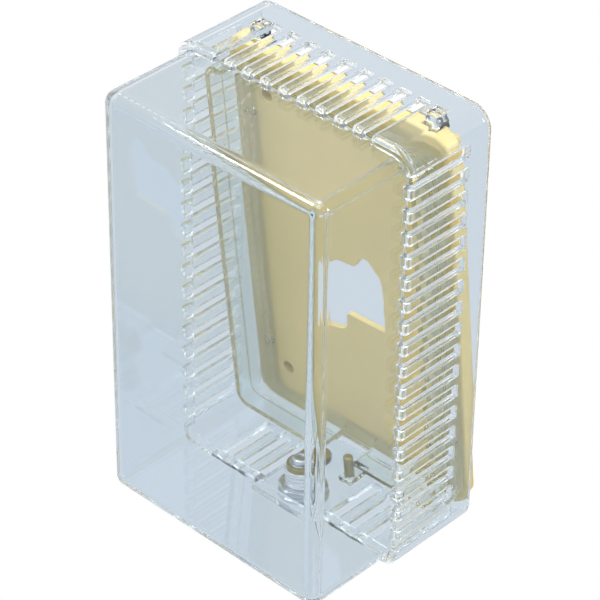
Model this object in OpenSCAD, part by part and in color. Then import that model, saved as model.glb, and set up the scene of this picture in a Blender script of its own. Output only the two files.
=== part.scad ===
// Clear thermostat guard with a hooked cover, ring base, opaque wall plate and cam lock.
// The wall is the plane y = 0, the room is towards -Y, and +Z is up.
// The origin is the middle of the four wall screws. The cover hangs ajar on its top hooks.

/* [Cover] */
// Width of the box in front of the ledge
box_w = 90; // [80:1:130]
// Height of the box in front of the ledge
box_h = 150; // [140:1:190]
// Depth of the box in front of the ledge
box_depth = 35; // [30:1:60]
// Depth of the skirt behind the ledge
skirt_depth = 35; // [33:0.5:45]
// Step outwards from the box to the skirt, on each side
ledge = 3; // [2.5:0.25:5]
// Thickness of the clear plastic
cover_wall = 2.5; // [2:0.25:3]
// Radius of the box's front edges and upright corners
box_r = 4.5; // [4:0.5:9]
// Radius of the skirt's corners
skirt_r = 8; // [6:0.5:11]
// Radius of the ledge's outer edge
ledge_r = 1.2; // [0.6:0.1:1.8]
// Gap between the closed cover's rim and the wall
rim_gap = 2.2; // [2:0.1:3]
// How far the cover stands open, in degrees
ajar = 6.7; // [0:0.1:30]

/* [Vents] */
// Width of each vent slot
slot_w = 4; // [3:0.25:4.5]
// Length of each vent slot, from the ledge towards the rim
slot_len = 25.5; // [18:0.5:28]
// Spacing of the slots down each side
side_pitch = 8; // [7:0.25:9]
// Number of slots down each side
side_slots = 18; // [10:1:18]
// Spacing of the slots along the top and the bottom
end_pitch = 7.5; // [6.5:0.25:8]
// Number of slots along the top
top_slots = 9; // [5:2:9]
// Number of slots along the bottom on each side of the lock
bottom_slots = 3; // [1:1:3]

/* [Wall plate] */
// Gap between the plate's sides and the skirt
plate_side_gap = 0.5; // [0.4:0.1:1.5]
// Gap between the plate's top edge and the skirt
plate_top_gap = 3; // [2.6:0.1:4]
// Gap between the plate's bottom edge and the skirt
plate_bottom_gap = 1; // [0.8:0.1:2]
// Depth of the plate from its face to the back of its lip
plate_depth = 5.5; // [4:0.5:8]
// Thickness of the plate and its lip
plate_wall = 2; // [1.5:0.25:2.5]
// Radius of the plate's corners
plate_r = 7; // [5:0.5:9]
// Radius of the plate's front edge
plate_edge_r = 1; // [0.5:0.25:1.5]
// Space between the plate's lip and the wall
standoff = 13.2; // [13:0.1:16]
// Radius of the hollow bosses that stand on the wall
boss_r = 4; // [3.5:0.25:5]
// Radius of the wall screw holes
wall_screw_r = 2.2; // [1.75:0.05:2.6]
// Spacing of the wall screws across
wall_screw_x = 60; // [44:1:60]
// Spacing of the wall screws up and down
wall_screw_z = 110; // [90:1:120]
// Thickness of the stiffening ribs behind the plate
rib_w = 1.2; // [1:0.1:2]

/* [Wire opening] */
// Width of the opening's main window
wire_w = 26; // [20:0.5:28]
// Height of the opening's main window
wire_h = 22; // [14:0.5:24]
// Distance from the plate's middle down to the main window's middle
wire_drop = 5.5; // [0:0.5:12]
// Radius of the main window's corners
wire_r = 1.5; // [0.5:0.25:2]
// Width of the leg below the window's left end
wire_leg_w = 10; // [6:0.5:10]
// Length of the leg below the window
wire_leg = 10; // [4:0.5:14]
// Radius of the leg's corners
wire_leg_r = 4.5; // [1.5:0.25:4.75]
// Width of the notch above the window, at its foot
wire_notch_w = 7.5; // [5:0.5:9]
// Width of the notch at its top
wire_notch_top = 2.5; // [1:0.5:4.5]
// Height of the notch above the window
wire_notch = 5.5; // [2:0.5:8]
// Distance from the plate's middle to the notch's middle, across
wire_notch_x = 6.25; // [0:0.25:7]

/* [Ring base] */
// Gap from the plate's side edges to the ring
ring_inset_x = 1; // [0.5:0.25:4]
// Gap from the plate's top and bottom edges to the ring
ring_inset_z = 3.75; // [3.75:0.25:6]
// Depth of the ring in front of the plate
ring_depth = 12.5; // [9:0.5:13]
// Thickness of the ring's wall and flange
ring_wall = 2; // [1.5:0.25:2.5]
// Step on the outside of the ring's wall
ring_step = 0.8; // [0.4:0.1:1]
// Width of the ring's inner flange, with its wall
ring_flange = 8.5; // [8:0.25:10]
// Radius of the ring's corners
ring_r = 6; // [5:0.5:8]
// Height of the ring screws above and below the middle
ring_screw_z = 46; // [30:1:50]
// Radius of the ring screws' thread
ring_screw_r = 1.4; // [1.2:0.05:1.5]
// Length of the ring screws under their heads
ring_screw_len = 7; // [5:0.5:7.5]

/* [Hinge] */
// Radius of the hinge bars
bar_r = 1.2; // [1:0.05:1.3]
// Running clearance between a bar and its hook
hinge_fit = 0.05; // [0.02:0.01:0.1]
// Distance from the middle to each hook
hook_x = 35.75; // [34:0.25:37]
// Width of each hook
hook_w = 4.5; // [4:0.25:6]
// Thickness of the hook round its bar
hook_wall = 1.3; // [1.2:0.05:1.6]
// Width of the hook's mouth
hook_mouth = 2.1; // [1.7:0.1:2.2]
// Gap beside each hook
hook_gap = 0.3; // [0.2:0.05:0.6]
// Length of each bar end that is held in the lip
bar_hold = 1.5; // [1:0.1:2.5]
// Depth of the bars' middle below the plate's top edge
bar_drop = 1.3; // [1.3:0.1:1.5]

/* [Lock] */
// Distance from the wall plate's face forward to the lock
lock_out = 10.5; // [10.25:0.25:12.5]
// Radius of the threaded barrel
barrel_r = 5; // [4.8:0.1:5.2]
// Length of the barrel inside the bottom wall and above it
barrel_len = 11.5; // [10.5:0.25:13]
// Distance from the lock's axis to the barrel's flat side
barrel_flat = 4.3; // [4.1:0.05:4.5]
// Clearance round the barrel in the cover's hole
barrel_fit = 0.1; // [0.05:0.05:0.3]
// Radius of the barrel's head below the cover
head_r = 7.5; // [7:0.25:9]
// Thickness of the barrel's head
head_t = 2; // [1.5:0.1:2.5]
// Width of the pad beside the barrel's head
pad_side = 4.8; // [4:0.2:8]
// Radius of the plug
plug_r = 3.5; // [3.4:0.05:3.6]
// Radius of the plug's face
plug_face_r = 4.4; // [4.2:0.1:5]
// Thickness of the plug's face
plug_face_t = 1.2; // [0.8:0.1:1.4]
// Running clearance between plug and barrel
plug_fit = 0.05; // [0.02:0.01:0.1]
// Width across the nut's flats
nut_af = 13; // [12.5:0.25:13]
// Thickness of the nut
nut_t = 2.5; // [2:0.1:3]
// Radius of the lock washer
lock_washer_r = 7; // [6.5:0.1:7.4]
// Thickness of the lock washer
lock_washer_t = 0.5; // [0.4:0.05:0.8]
// Side of the square that turns the cam
square_w = 4.5; // [4:0.1:4.8]
// Gap between the open cam's tip and the wall plate
cam_gap = 0.6; // [0.5:0.05:0.75]
// Width of the cam
cam_w = 8; // [7:0.25:8]
// Thickness of the cam
cam_t = 2; // [1.5:0.1:2.2]
// Radius of the cam screw's thread
cam_screw_r = 1.2; // [1:0.05:1.3]
// Radius of the cam screw's head
cam_head_r = 2.7; // [2.4:0.1:3]
// Radius of the keeper pin
keeper_r = 1.6; // [1.5:0.05:2.1]
// Height of the keeper pin above its tongue
keeper_len = 8; // [6.25:0.25:8.5]
// Gap between the keeper pin and the locked cam
keeper_gap = 0.4; // [0.3:0.05:0.8]
// Width of the tongue round the keeper pin
tongue_edge = 1.2; // [0.8:0.1:2]

/* [Wafers] */
// Number of wafers in the plug
wafers = 5; // [3:1:5]
// Thickness of a wafer
wafer_t = 0.5; // [0.4:0.05:0.6]
// Spacing of the wafers
wafer_pitch = 1.6; // [1.4:0.1:1.7]
// Width of a wafer
wafer_w = 4.2; // [3.8:0.1:4.4]
// Travel of a wafer out of the plug
wafer_travel = 0.5; // [0.3:0.05:0.6]
// Radius of a wafer spring
spring_r = 0.35; // [0.25:0.05:0.4]

/* [Hidden] */
$fn = 64;

// Overlap that makes a cut pass cleanly through a face
eps = 0.1;
// Gap between pieces that touch in one body
seat = 0.02;
// Gap of a thin piece in its own slot
slide_fit = 0.05;
// Segments in each quarter of a rounded outline
corner_steps = 8;
// Thickness of one layer of a rounded edge
layer = 0.01;
// Smallest corner radius in a rounded edge
tip_r = 0.5;

// Cover, measured closed
skirt_w = box_w + 2 * ledge;
skirt_h = box_h + 2 * ledge;
skirt_in_w = skirt_w - 2 * cover_wall;
skirt_in_h = skirt_h - 2 * cover_wall;
rim_y = -rim_gap;
ledge_y = rim_y - skirt_depth;
front_y = ledge_y - box_depth;
cover_z = (plate_top_gap - plate_bottom_gap) / 2;
floor_out_z = cover_z - skirt_h / 2;
ceiling_z = cover_z + skirt_in_h / 2;
side_in_r = skirt_r - cover_wall;

// Wall plate
plate_w = skirt_in_w - 2 * plate_side_gap;
plate_h = skirt_in_h - plate_top_gap - plate_bottom_gap;
lip_y = -standoff;
plate_y = lip_y - plate_depth;
plate_back_y = plate_y + plate_wall;
rib_h = plate_depth - plate_wall;
ring_boss_r = ring_screw_r * 2;

// Ring base
ring_w = plate_w - 2 * ring_inset_x;
ring_h = plate_h - 2 * ring_inset_z;
ring_y = plate_y - ring_depth;
ring_step_y = plate_y - ring_depth / 2;
ring_screw_x = ring_w / 2 - ring_step - (ring_wall + ring_flange) / 2;
ring_head_r = 2.6;
ring_head_t = 1.6;
ring_floor_z = -ring_h / 2;

// Hinge
bar_y = lip_y;
bar_z = plate_h / 2 - bar_drop;
hook_r = bar_r + hinge_fit + hook_wall;
window_w = hook_w + 2 * hook_gap;

// Lock, measured from the outside of the cover's bottom wall
lock_y = plate_y - lock_out;
cam_len = lock_out - cam_gap;
cam_hub_r = cam_w / 2 + 0.6;
head_bevel = 0.8;
pad_w = 2 * (head_r + pad_side);
pad_front_y = min(ledge_y, lock_y - head_r) - cover_wall;
nut_z = cover_wall + lock_washer_t + seat;
square_top = barrel_len + cam_t - seat;
cam_z = barrel_len + slide_fit;
cam_washer_z = cam_z + cam_t + seat;
cam_washer_t = 0.5;
cam_washer_r = 3.6;
cam_head_z = cam_washer_z + cam_washer_t + seat;
cam_head_t = 1.6;
cam_screw_len = 5;
face_pocket = plug_face_t + slide_fit;
wafer_z0 = 1.1;
wafer_r = plug_r - 0.1;
groove_r = wafer_r + wafer_travel + 0.25;
lug_x = wafer_w / 2 + 0.9;
lug_h = 0.6;
spring_x = wafer_w / 2 + spring_r + 0.1;
spring_len = 1.2;
keyway_w = 1.1;
keyway_h = 4.6;
key_window_w = 1.5;
key_window_h = 3.2;
// How far each wafer's window is off its middle, to suit the cuts of one key
window_lifts = [0.3, -0.3, 0.15, -0.45, 0];

// Keeper, on its tongue beside the notch that the barrel stands in
nut_gap = 0.3;
notch_lap = 0.2;
notch_gap = 2.2;
tongue_x0 = nut_af / 2 + nut_gap;
keeper_x = tongue_x0 + tongue_edge / 2 + keeper_r;
tongue_x1 = keeper_x + keeper_r + tongue_edge;
keeper_y = lock_y - cam_w / 2 - keeper_gap - keeper_r;
tongue_y = keeper_y - keeper_r - tongue_edge;
notch_x = tongue_x0 - notch_lap;
notch_back_y = lock_y + barrel_r + notch_gap;

function arc(cx, cz, r, a0, a1) = [
    for (i = [0:corner_steps])
        let (a = a0 + (a1 - a0) * i / corner_steps)
            [cx + r * cos(a), cz + r * sin(a)]
];

function round_rect(w, h, r) = concat(
    arc(w / 2 - r, h / 2 - r, r, 0, 90),
    arc(-w / 2 + r, h / 2 - r, r, 90, 180),
    arc(-w / 2 + r, -h / 2 + r, r, 180, 270),
    arc(w / 2 - r, -h / 2 + r, r, 270, 360)
);

// A rounded rectangle seen from the room, from y0 back to y1
module slab(w, h, r, y0, y1) {
    translate([0, y1, 0])
        rotate([90, 0, 0])
            linear_extrude(y1 - y0)
                polygon(round_rect(w, h, r));
}

// The same with its front edge rounded to edge_r
module blank(w, h, r, edge_r, y0, y1) {
    hull() {
        for (i = [0:corner_steps - 1]) {
            a = 90 * i / corner_steps;
            inset = edge_r * (1 - sin(a));
            y = y0 + edge_r * (1 - cos(a));
            slab(w - 2 * inset, h - 2 * inset, max(r - inset, tip_r), y, y + layer);
        }
        slab(w, h, r, y0 + edge_r, y1);
    }
}

// A box between two corners
module span(low, high) {
    translate(low)
        cube(high - low);
}

// A cylinder along X from x0 to x1
module rod_x(r, x0, x1) {
    translate([x0, 0, 0])
        rotate([0, 90, 0])
            cylinder(h = x1 - x0, r = r);
}

// A cylinder along Y from y0 to y1
module rod_y(r, y0, y1) {
    translate([0, y0, 0])
        rotate([-90, 0, 0])
            cylinder(h = y1 - y0, r = r);
}

// Swings the closed cover and all it carries out to the ajar pose
module on_cover() {
    translate([0, bar_y, bar_z])
        rotate([-ajar, 0, 0])
            translate([0, -bar_y, -bar_z])
                children();
}

// Places lock parts, which are drawn upright on the lock's axis
module in_lock() {
    on_cover()
        translate([0, lock_y, floor_out_z])
            children();
}

module at_corners(x, z) {
    for (sx = [-1, 1]) {
        for (sz = [-1, 1]) {
            translate([sx * x, 0, sz * z])
                children();
        }
    }
}

// The D-shaped section of the threaded barrel
module barrel_shape(r, flat) {
    intersection() {
        circle(r);
        translate([-flat, -r])
            square([flat + r, 2 * r]);
    }
}

module side_vents() {
    for (sx = [0, 1]) {
        mirror([sx, 0, 0]) {
            for (i = [0:side_slots - 1]) {
                z = cover_z + (i - (side_slots - 1) / 2) * side_pitch;
                span(
                    [box_w / 2 - eps, ledge_y - eps, z - slot_w / 2],
                    [skirt_w / 2 + eps, ledge_y + slot_len, z + slot_w / 2]
                );
            }
        }
    }
}

// One slot through the top wall, at x from the middle
module top_vent(x) {
    span(
        [x - slot_w / 2, ledge_y - eps, box_h / 2 - eps],
        [x + slot_w / 2, ledge_y + slot_len, skirt_h / 2 + eps]
    );
}

module end_vents() {
    middle = (top_slots - 1) / 2;
    translate([0, 0, cover_z]) {
        for (i = [0:top_slots - 1]) {
            top_vent((i - middle) * end_pitch);
        }
        mirror([0, 0, 1]) {
            for (i = [0:bottom_slots - 1]) {
                top_vent((middle - i) * end_pitch);
                top_vent((i - middle) * end_pitch);
            }
        }
    }
}

// Level pad for the lock, which carries the skirt's floor forward past the ledge
module lock_pad(inset, top_z) {
    span(
        [-pad_w / 2 + inset, pad_front_y + inset, floor_out_z + inset],
        [pad_w / 2 - inset, ledge_y + cover_wall + eps, top_z]
    );
}

// Hook that hangs from the cover's ceiling and clips over a hinge bar
module hook() {
    translate([0, bar_y, bar_z]) {
        difference() {
            union() {
                rod_x(hook_r, -hook_w / 2, hook_w / 2);
                span(
                    [-hook_w / 2, -hook_r, 0],
                    [hook_w / 2, hook_r, ceiling_z - bar_z + eps]
                );
            }
            rod_x(bar_r + hinge_fit, -hook_w / 2 - eps, hook_w / 2 + eps);
            span(
                [-hook_w / 2 - eps, -hook_mouth / 2, -hook_r - eps],
                [hook_w / 2 + eps, hook_mouth / 2, 0]
            );
        }
    }
}

module cover_shell() {
    translate([0, 0, cover_z]) {
        difference() {
            union() {
                blank(box_w, box_h, box_r, box_r, front_y, ledge_y + cover_wall);
                blank(skirt_w, skirt_h, skirt_r, ledge_r, ledge_y, rim_y);
            }
            blank(
                box_w - 2 * cover_wall, box_h - 2 * cover_wall,
                box_r - cover_wall, box_r - cover_wall,
                front_y + cover_wall, ledge_y + cover_wall + eps
            );
            slab(skirt_in_w, skirt_in_h, side_in_r, ledge_y + cover_wall, rim_y + eps);
        }
    }
}

module cover() {
    color("lightblue", 0.4) on_cover() {
        difference() {
            union() {
                cover_shell();
                lock_pad(0, cover_z - box_h / 2 + cover_wall);
            }
            lock_pad(cover_wall, cover_z - box_h / 2 + cover_wall + eps);
            side_vents();
            end_vents();
            translate([0, lock_y, floor_out_z - eps])
                linear_extrude(cover_wall + 2 * eps)
                    barrel_shape(barrel_r + barrel_fit, barrel_flat + barrel_fit);
        }
        for (sx = [-1, 1]) {
            translate([sx * hook_x, 0, 0])
                hook();
        }
    }
}

// Opening for the thermostat's wires, cut through the plate's face
module wire_opening() {
    top = -wire_drop + wire_h / 2;
    bottom = -wire_drop - wire_h / 2;
    y0 = plate_y - eps;
    y1 = plate_back_y + eps;
    translate([0, 0, -wire_drop])
        slab(wire_w, wire_h, wire_r, y0, y1);
    translate([(wire_leg_w - wire_w) / 2, 0, bottom - wire_leg / 2 + wire_leg_r])
        slab(wire_leg_w, wire_leg + 2 * wire_leg_r, wire_leg_r, y0, y1);
    translate([wire_notch_x, y1, top])
        rotate([90, 0, 0])
            linear_extrude(y1 - y0)
                polygon([
                    [-wire_notch_w / 2, -eps], [wire_notch_w / 2, -eps],
                    [wire_notch_top / 2, wire_notch], [-wire_notch_top / 2, wire_notch]
                ]);
}

// Window in the lip for one hook
module hinge_window() {
    span(
        [-window_w / 2, plate_back_y, bar_z - hook_r - hook_gap],
        [window_w / 2, lip_y + eps, plate_h / 2 + eps]
    );
}

// Bar across one window, let into the lip's back edge at both ends
module hinge_bar() {
    half = window_w / 2 + bar_hold;
    translate([0, bar_y, bar_z])
        rod_x(bar_r, -half, half);
}

module ribs() {
    half_x = wall_screw_x / 2;
    half_z = wall_screw_z / 2;
    for (s = [-1, 1]) {
        span(
            [s * half_x - rib_w / 2, plate_back_y - eps, -half_z],
            [s * half_x + rib_w / 2, plate_back_y + rib_h, half_z]
        );
        span(
            [-half_x, plate_back_y - eps, s * half_z - rib_w / 2],
            [half_x, plate_back_y + rib_h, s * half_z + rib_w / 2]
        );
    }
}

module wall_plate() {
    color("darkkhaki") {
        difference() {
            union() {
                difference() {
                    blank(plate_w, plate_h, plate_r, plate_edge_r, plate_y, lip_y);
                    slab(
                        plate_w - 2 * plate_wall, plate_h - 2 * plate_wall, plate_r - plate_wall,
                        plate_back_y, lip_y + eps
                    );
                    for (sx = [-1, 1]) {
                        translate([sx * hook_x, 0, 0])
                            hinge_window();
                    }
                }
                for (sx = [-1, 1]) {
                    translate([sx * hook_x, 0, 0])
                        hinge_bar();
                }
                ribs();
                at_corners(wall_screw_x / 2, wall_screw_z / 2)
                    rod_y(boss_r, plate_back_y - eps, 0);
                at_corners(ring_screw_x, ring_screw_z)
                    rod_y(ring_boss_r, plate_back_y - eps, lip_y + plate_wall);
            }
            wire_opening();
            at_corners(wall_screw_x / 2, wall_screw_z / 2)
                rod_y(wall_screw_r, plate_y - eps, eps);
            at_corners(ring_screw_x, ring_screw_z)
                rod_y(ring_screw_r + seat, plate_y - eps, lip_y + plate_wall + eps);
        }
    }
}

// Tongue that carries the keeper pin past the side of the barrel
module keeper_tongue() {
    span(
        [tongue_x0, tongue_y, ring_floor_z],
        [tongue_x1, ring_y + ring_wall, ring_floor_z + ring_wall]
    );
}

module ring_base() {
    front_w = ring_w - 2 * ring_step;
    front_h = ring_h - 2 * ring_step;
    front_r = ring_r - ring_step;
    thick = ring_step + ring_wall;
    color("lightcyan", 0.5) {
        difference() {
            union() {
                slab(front_w, front_h, front_r, ring_y, ring_step_y + eps);
                slab(ring_w, ring_h, ring_r, ring_step_y, plate_y);
                keeper_tongue();
            }
            slab(
                ring_w - 2 * thick, ring_h - 2 * thick, ring_r - thick,
                ring_y - eps, plate_y - ring_wall
            );
            slab(
                ring_w - 2 * (ring_step + ring_flange), ring_h - 2 * (ring_step + ring_flange),
                ring_r / 2, plate_y - ring_wall - eps, plate_y + eps
            );
            span(
                [-notch_x, ring_y - eps, ring_floor_z - eps],
                [notch_x, notch_back_y, ring_floor_z + thick + eps]
            );
            span(
                [-notch_x, plate_y - ring_wall - eps, ring_floor_z + thick],
                [notch_x, plate_y + eps, ring_floor_z + ring_step + ring_flange + eps]
            );
            at_corners(ring_screw_x, ring_screw_z)
                rod_y(ring_screw_r + seat, plate_y - ring_wall - eps, plate_y + eps);
            translate([keeper_x, keeper_y, ring_floor_z - eps])
                cylinder(h = ring_wall + 2 * eps, r = keeper_r + seat);
        }
    }
}

module ring_screws() {
    head_y = plate_y - ring_wall - seat;
    color("silver") at_corners(ring_screw_x, ring_screw_z) {
        rod_y(ring_head_r, head_y - ring_head_t, head_y);
        rod_y(ring_screw_r, head_y - eps, head_y + ring_screw_len);
    }
}

module keeper_pin() {
    color("darkkhaki") translate([keeper_x, keeper_y, ring_floor_z])
        cylinder(h = ring_wall + keeper_len, r = keeper_r);
}

// Threaded barrel with its head, its bore and the grooves that the wafers lock into
module lock_body() {
    groove_w = wafer_w + 4 * slide_fit;
    groove_top = wafer_z0 + wafers * wafer_pitch;
    color("silver") in_lock() {
        difference() {
            union() {
                translate([0, 0, -head_t / 2])
                    linear_extrude(barrel_len + head_t / 2)
                        barrel_shape(barrel_r, barrel_flat);
                translate([0, 0, -head_t])
                    rotate_extrude()
                        polygon([
                            [0, 0], [head_r - head_bevel, 0], [head_r, head_bevel],
                            [head_r, head_t - seat], [0, head_t - seat]
                        ]);
            }
            translate([0, 0, -head_t - eps])
                cylinder(h = barrel_len + head_t + 2 * eps, r = plug_r + plug_fit);
            translate([0, 0, -head_t - eps])
                cylinder(h = face_pocket + eps, r = plug_face_r + plug_fit);
            for (turn = [0, -90]) {
                rotate([0, 0, turn])
                    span(
                        [-groove_w / 2, 0, wafer_z0 - wafer_t],
                        [groove_w / 2, groove_r, groove_top]
                    );
            }
        }
    }
}

module lock_washer() {
    color("gainsboro") in_lock()
        translate([0, 0, cover_wall + seat / 2])
            linear_extrude(lock_washer_t)
                difference() {
                    circle(lock_washer_r);
                    barrel_shape(barrel_r + barrel_fit, barrel_flat + barrel_fit);
                }
}

module lock_nut() {
    color("silver") in_lock()
        translate([0, 0, nut_z])
            difference() {
                intersection() {
                    rotate([0, 0, 30])
                        cylinder(h = nut_t, r = nut_af / sqrt(3), $fn = 6);
                    cylinder(h = nut_t, r = nut_af / 2 + 0.8);
                }
                translate([0, 0, -eps])
                    cylinder(h = nut_t + 2 * eps, r = barrel_r + seat);
            }
}

module wafer_slot(z) {
    half = wafer_w / 2 + slide_fit;
    span([-half, -plug_r - eps, z], [half, plug_r + eps, z + wafer_t + 2 * slide_fit]);
    span(
        [0, -lug_h / 2 - slide_fit, z],
        [lug_x + slide_fit, lug_h / 2 + wafer_travel + slide_fit, z + wafer_t + 2 * slide_fit]
    );
    translate([spring_x, 0, z + wafer_t / 2 + slide_fit])
        rod_y(spring_r + slide_fit, -lug_h / 2 - spring_len - slide_fit, 0);
}

module lock_plug() {
    color("goldenrod") in_lock() {
        difference() {
            union() {
                translate([0, 0, -head_t])
                    cylinder(h = plug_face_t, r = plug_face_r);
                translate([0, 0, -head_t])
                    cylinder(h = barrel_len + head_t, r = plug_r);
                span(
                    [-square_w / 2, -square_w / 2, barrel_len - eps],
                    [square_w / 2, square_w / 2, square_top]
                );
            }
            span(
                [-keyway_w / 2, -keyway_h / 2, -head_t - eps],
                [keyway_w / 2, keyway_h / 2, wafer_z0 + wafers * wafer_pitch - wafer_t]
            );
            for (i = [0:wafers - 1]) {
                wafer_slot(wafer_z0 + i * wafer_pitch);
            }
            translate([0, 0, cam_head_z - cam_screw_len - eps])
                cylinder(h = cam_screw_len, r = cam_screw_r + seat);
        }
    }
}

module lock_cam() {
    tip_y = cam_len - cam_w / 2;
    hole = square_w / 2 + slide_fit;
    color("darkkhaki") in_lock()
        translate([0, 0, cam_z])
            linear_extrude(cam_t)
                difference() {
                    union() {
                        circle(cam_hub_r);
                        translate([-cam_w / 2, 0])
                            square([cam_w, tip_y]);
                        translate([0, tip_y])
                            circle(cam_w / 2);
                    }
                    translate([-hole, -hole])
                        square(2 * hole);
                }
}

module cam_washer() {
    color("gainsboro") in_lock()
        translate([0, 0, cam_washer_z])
            difference() {
                cylinder(h = cam_washer_t, r = cam_washer_r);
                translate([0, 0, -eps])
                    cylinder(h = cam_washer_t + 2 * eps, r = cam_screw_r + slide_fit);
            }
}

module cam_screw() {
    slot = 0.7;
    color("silver") in_lock() {
        difference() {
            union() {
                translate([0, 0, cam_head_z])
                    cylinder(h = cam_head_t, r = cam_head_r);
                translate([0, 0, cam_head_z - cam_screw_len])
                    cylinder(h = cam_screw_len + eps, r = cam_screw_r);
            }
            translate([0, 0, cam_head_z + cam_head_t / 2]) {
                span([-cam_head_r, -slot / 2, 0], [cam_head_r, slot / 2, cam_head_t]);
            }
        }
    }
}

module wafer_springs() {
    color("silver") in_lock() {
        for (i = [0:wafers - 1]) {
            translate([spring_x, 0, wafer_z0 + i * wafer_pitch + wafer_t / 2 + slide_fit])
                rod_y(spring_r, -lug_h / 2 - spring_len, -lug_h / 2 - seat);
        }
    }
}

// Brass wafer, held flush with the plug as it is when the key is in
module wafer(i) {
    color("gold") in_lock()
        translate([0, 0, wafer_z0 + i * wafer_pitch + slide_fit]) {
            linear_extrude(wafer_t)
                difference() {
                    union() {
                        intersection() {
                            circle(wafer_r);
                            translate([-wafer_w / 2, -plug_r])
                                square([wafer_w, 2 * plug_r]);
                        }
                        translate([0, -lug_h / 2])
                            square([lug_x, lug_h]);
                    }
                    translate([-key_window_w / 2, window_lifts[i] - key_window_h / 2])
                        square([key_window_w, key_window_h]);
                }
        }
}

module wafer_1() {
    wafer(0);
}

module wafer_2() {
    wafer(1);
}

module wafer_3() {
    wafer(2);
}

module wafer_4() {
    if (wafers > 3) wafer(3);
}

module wafer_5() {
    if (wafers > 4) wafer(4);
}

cover();
wall_plate();
ring_base();
ring_screws();
keeper_pin();
lock_body();
lock_washer();
lock_nut();
lock_plug();
lock_cam();
cam_washer();
cam_screw();
wafer_springs();
wafer_1();
wafer_2();
wafer_3();
wafer_4();
wafer_5();
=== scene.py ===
import bpy
import bmesh
from math import atan2, cos, hypot, pi, radians, sin
from mathutils import Matrix, Vector


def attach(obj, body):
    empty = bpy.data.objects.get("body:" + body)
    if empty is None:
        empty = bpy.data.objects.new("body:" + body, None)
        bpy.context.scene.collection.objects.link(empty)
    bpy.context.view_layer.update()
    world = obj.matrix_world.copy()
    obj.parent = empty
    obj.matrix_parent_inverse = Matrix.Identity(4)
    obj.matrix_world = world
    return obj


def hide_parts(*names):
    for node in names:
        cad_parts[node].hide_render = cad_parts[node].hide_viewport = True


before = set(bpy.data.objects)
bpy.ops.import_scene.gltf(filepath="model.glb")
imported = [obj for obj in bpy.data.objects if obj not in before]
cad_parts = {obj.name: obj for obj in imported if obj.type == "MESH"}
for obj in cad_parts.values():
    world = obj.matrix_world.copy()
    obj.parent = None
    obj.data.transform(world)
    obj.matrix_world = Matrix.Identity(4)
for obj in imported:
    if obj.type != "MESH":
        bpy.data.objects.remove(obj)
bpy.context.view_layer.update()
mm = 0.001
past = 1.0  # how far a cutter reaches past what it cuts
farPast = 5.0  # the same, where there is plenty of room
lap = 0.1  # overlap of two shapes that become one
sunk = 0.5  # how deep webs, ribs and bosses start inside their wall
seat = 0.02  # gap round or under a piece on its seat

# The cover hangs ajar, turned about the bars that its top hooks hold
hang = {"ajar": 6.7, "barY": -13.2, "barZ": 72.2}


def toLinear(hexColour):
    channels = [int(hexColour[i:i + 2], 16) / 255 for i in (0, 2, 4)]
    return [c / 12.92 if c <= 0.04045 else ((c + 0.055) / 1.055) ** 2.4 for c in channels] + [1.0]


def addNode(tree, kind, settings=None, links=None):
    node = tree.nodes.new(kind)
    for name, value in (settings or {}).items():
        if isinstance(name, str) and hasattr(node, name):
            setattr(node, name, value)
        else:
            node.inputs[name].default_value = value
    for name, source in (links or {}).items():
        tree.links.new(source, node.inputs[name])
    return node


def newMaterial(name):
    material = bpy.data.materials.new(name)
    material.use_nodes = True
    material.node_tree.nodes.clear()
    return material, material.node_tree


# Noise in the object's own space; stretch gives the marks a direction
def addNoise(tree, sizeMm, stretch=(1.0, 1.0, 1.0), detail=2.0):
    place = addNode(tree, "ShaderNodeTexCoord")
    drawn = addNode(tree, "ShaderNodeMapping", {"Scale": stretch}, {"Vector": place.outputs["Object"]})
    return addNode(tree, "ShaderNodeTexNoise", {"Scale": 1 / (sizeMm * mm), "Detail": detail},
                   {"Vector": drawn.outputs["Vector"]})


def addRange(tree, noise, low, high):
    return addNode(tree, "ShaderNodeMapRange",
                   {"From Min": 0.3, "From Max": 0.7, "To Min": low, "To Max": high},
                   {"Value": noise.outputs["Fac"]})


def addTone(tree, noise, darker, lighter):
    blend = addNode(tree, "ShaderNodeMix", {"data_type": "RGBA"}, {"Factor": noise.outputs["Fac"]})
    blend.inputs[6].default_value = toLinear(darker)
    blend.inputs[7].default_value = toLinear(lighter)
    return blend.outputs[2]


# Clear mouldings: polycarbonate bends light a little more than window glass and is faintly tinted.
# A slow swell in the surface is the flow of the moulding. Shade is what it does to lamp light,
# where that is more than its tint.
def clearPolycarbonate(name, tint, haze, flowMm, shade=None):
    material, tree = newMaterial(name)
    flow = addNoise(tree, flowMm, (1.0, 1.0, 0.4))
    swell = addNode(tree, "ShaderNodeBump", {"Strength": 0.05, "Distance": 0.1 * mm},
                    {"Height": flow.outputs["Fac"]})
    handled = addNoise(tree, flowMm * 2)
    body = addNode(tree, "ShaderNodeBsdfPrincipled", {
        "Base Color": toLinear(tint), "IOR": 1.585, "Transmission Weight": 1.0,
    }, {"Normal": swell.outputs["Normal"], "Roughness": addRange(tree, handled, haze, haze * 2).outputs[0]})
    # lamps shine through to what is inside, less what the walls and edges turn aside
    lampLight = addNode(tree, "ShaderNodeBsdfTransparent", {"Color": toLinear(shade or tint)})
    path = addNode(tree, "ShaderNodeLightPath")
    mix = addNode(tree, "ShaderNodeMixShader", links={
        0: path.outputs["Is Shadow Ray"], 1: body.outputs[0], 2: lampLight.outputs[0],
    })
    addNode(tree, "ShaderNodeOutputMaterial", links={"Surface": mix.outputs[0]})
    return material


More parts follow.
